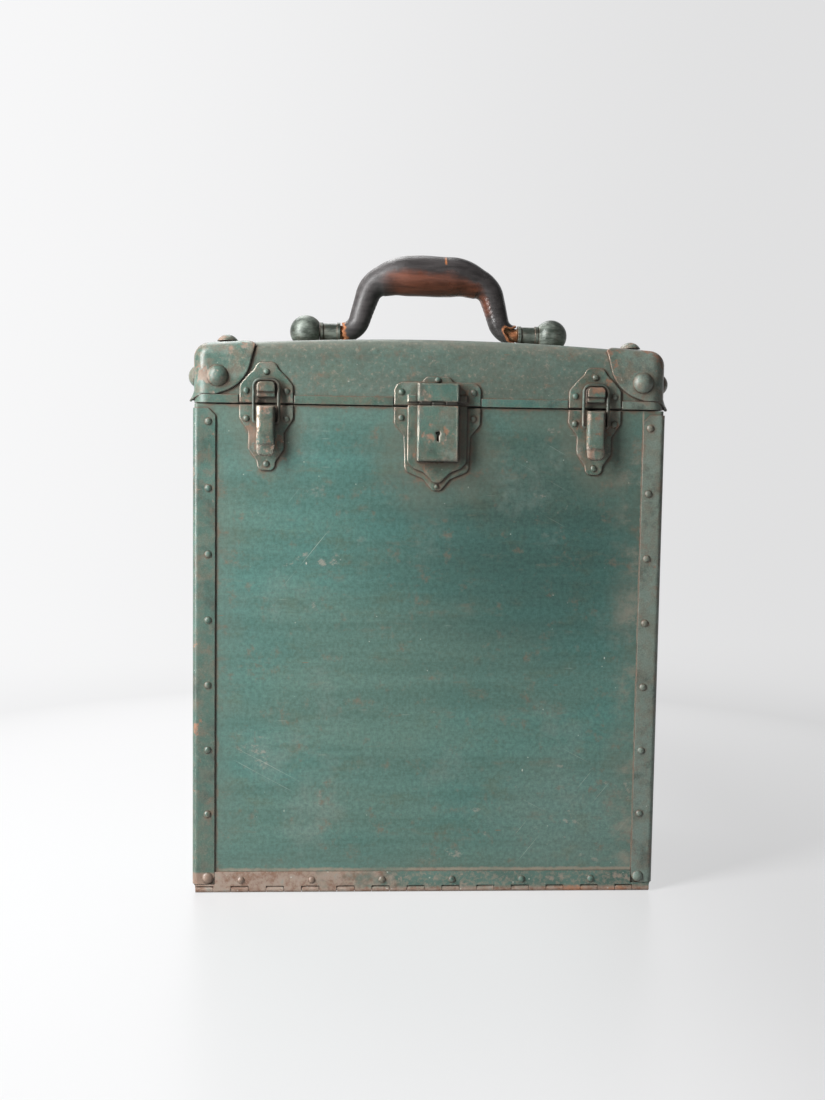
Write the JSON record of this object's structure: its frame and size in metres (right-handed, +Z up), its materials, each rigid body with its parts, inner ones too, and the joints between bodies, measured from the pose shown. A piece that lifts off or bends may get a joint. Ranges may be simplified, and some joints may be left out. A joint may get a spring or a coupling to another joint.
{
  "type": "lunch box",
  "caption": "Green-painted hard carrying case with steel corner angles, a hinged drop front, a crowned lid, wire draw latches, a hasp lock and a leather swing handle.",
  "frame": {"origin": "middle of the base, on the plane that the case stands on", "axes": "+X to the right seen from the front, +Y to the back, +Z up"},
  "size_m": [0.344, 0.2163, 0.4719],
  "materials": {
    "painted_board": "brushed green paint over board, aged and streaked",
    "painted_steel": "green paint over steel, worn to rust at the edges",
    "worn_hinge": "green paint worn to brown rust along the bottom hinge",
    "bare_steel": "dull aged steel",
    "leather": "dark worn leather, torn at its ends"
  },
  "bodies": {
    "case": {"back_panel": "painted_board", "left_panel": "painted_board", "right_panel": "painted_board", "bottom_panel": "painted_board", "back_angle_left": "painted_steel", "back_angle_right": "painted_steel", "bottom_edging_back": "painted_steel", "bottom_edging_left": "painted_steel", "bottom_edging_right": "painted_steel", "case_rivets": "painted_steel", "front_hinge_fixed_leaf": "worn_hinge", "front_hinge_pin": "bare_steel", "back_hinge_case_leaf_left": "painted_steel", "back_hinge_case_leaf_right": "painted_steel", "back_hinge_pins": "bare_steel"},
    "drop_front": {"front_panel": "painted_board", "front_angle_left": "painted_steel", "front_angle_right": "painted_steel", "front_hinge_door_leaf": "worn_hinge", "front_rivets": "painted_steel", "latch_base_left": "painted_steel", "latch_base_right": "painted_steel", "latch_pins": "bare_steel", "lock_base": "painted_steel", "lock_staple": "bare_steel", "front_plate_rivets": "painted_steel"},
    "lever_left": {"latch_lever_left": "painted_steel"},
    "lever_right": {"latch_lever_right": "painted_steel"},
    "bail_left": {"latch_bail_left": "bare_steel"},
    "bail_right": {"latch_bail_right": "bare_steel"},
    "hasp": {"hasp_plate": "painted_steel", "lock_cover": "painted_steel", "key_post": "bare_steel", "lock_bolt_guide": "bare_steel"},
    "lock_bolt": {"lock_bolt": "bare_steel"},
    "handle": {"handle_core": "bare_steel", "handle_grip": "leather", "handle_ferrules": "bare_steel"},
    "lid": {"lid_front_board": "painted_board", "lid_back_board": "painted_board", "lid_left_board": "painted_board", "lid_right_board": "painted_board", "lid_top_board": "painted_board", "lid_band": "painted_steel", "lid_cap_front_left": "painted_steel", "lid_cap_front_right": "painted_steel", "lid_cap_back_left": "painted_steel", "lid_cap_back_right": "painted_steel", "lid_cap_rivets": "painted_steel", "latch_keeper_left": "painted_steel", "latch_keeper_right": "painted_steel", "lid_plate_rivets": "painted_steel", "lock_lid_plate": "painted_steel", "lock_knuckle_box": "painted_steel", "hasp_pin": "bare_steel", "back_hinge_lid_leaf_left": "painted_steel", "back_hinge_lid_leaf_right": "painted_steel", "handle_post_left": "painted_steel", "handle_post_right": "painted_steel", "handle_post_bolts": "bare_steel"}
  },
  "joints": [
    {"name": "drop_front_hinge", "type": "hinge", "parent": "case", "child": "drop_front", "pos_m": [0, -0.0986, 0.0024], "axis": [1, 0, 0], "range_deg": [0, 88]},
    {"name": "lever_left_pivot", "type": "hinge", "parent": "drop_front", "child": "lever_left", "pos_m": [-0.116, -0.1055, 0.3464], "axis": [-1, 0, 0], "range_deg": [0, 110]},
    {"name": "lever_right_pivot", "type": "hinge", "parent": "drop_front", "child": "lever_right", "pos_m": [0.116, -0.1055, 0.3464], "axis": [-1, 0, 0], "range_deg": [0, 110]},
    {"name": "bail_left_pivot", "type": "hinge", "parent": "lever_left", "child": "bail_left", "pos_m": [-0.116, -0.104, 0.3376], "axis": [-1, 0, 0], "range_deg": [-110, 0]},
    {"name": "bail_right_pivot", "type": "hinge", "parent": "lever_right", "child": "bail_right", "pos_m": [0.116, -0.104, 0.3376], "axis": [-1, 0, 0], "range_deg": [-110, 0]},
    {"name": "lid_hinge", "type": "hinge", "parent": "case", "child": "lid", "pos_m": [0, 0.1032, 0.3504], "axis": [-1, 0, 0], "range_deg": [0, 170]},
    {"name": "hasp_hinge", "type": "hinge", "parent": "lid", "child": "hasp", "pos_m": [0.004, -0.1091, 0.3523], "axis": [-1, 0, 0], "range_deg": [0, 100]},
    {"name": "lock_bolt_slide", "type": "slide", "parent": "hasp", "child": "lock_bolt", "axis": [1, 0, 0], "range_m": [0, 0.005]},
    {"name": "handle_swing", "type": "hinge", "parent": "lid", "child": "handle", "pos_m": [0.004, 0, 0.4114], "axis": [1, 0, 0], "range_deg": [-80, 80]}
  ],
  "couplings": [
    {"joint": "bail_left_pivot", "follows": "lever_left_pivot", "ratio": -1},
    {"joint": "bail_right_pivot", "follows": "lever_right_pivot", "ratio": -1}
  ]
}
